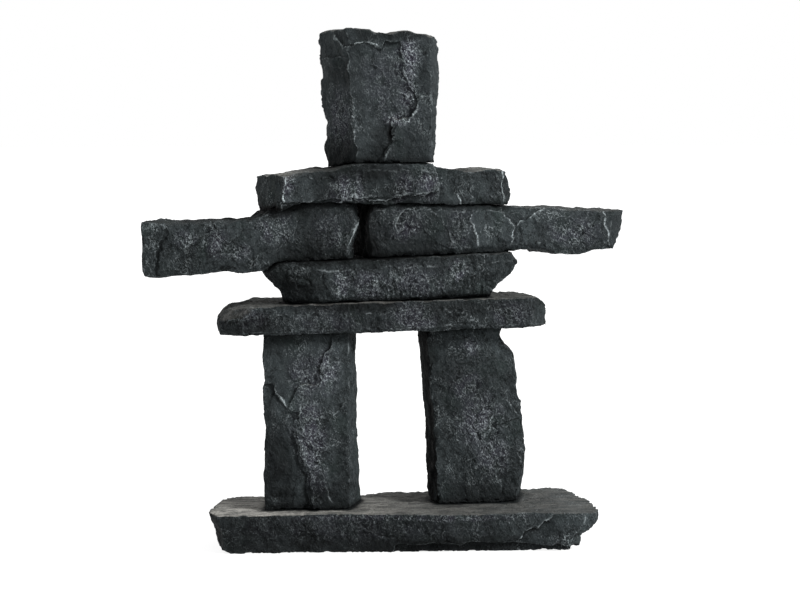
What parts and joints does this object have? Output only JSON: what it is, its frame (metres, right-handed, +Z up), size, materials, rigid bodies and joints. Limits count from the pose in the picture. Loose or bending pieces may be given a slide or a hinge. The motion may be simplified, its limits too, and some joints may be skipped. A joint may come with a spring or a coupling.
{
  "type": "inukshuk sculpture",
  "caption": "Standing stone figure stacked from split slate: base slab, legs, hip slab, waist stone, outstretched arms, shoulder slab and head.",
  "frame": {"origin": "on the underside of the base slab, below the middle of the stacked stones, at the front-to-back middle of the waist joint", "axes": "+Z up, +X to the figure's left as it faces the viewer (the right of the picture), and the figure faces -Y"},
  "size_m": [0.2855, 0.0892, 0.3014],
  "materials": {
    "slate": "split slate, dark grey with a blue-green cast, lighter bruised arrises and flecks",
    "base_slate": "split slate, with a paler and smoother bed on top"
  },
  "bodies": {
    "root": {"base_slab": "base_slate", "left_leg": "slate", "right_leg": "slate", "hip_slab": "slate", "waist_stone": "slate", "left_arm": "slate", "right_arm": "slate", "shoulder_slab": "slate", "head_stone": "slate"}
  },
  "joints": []
}
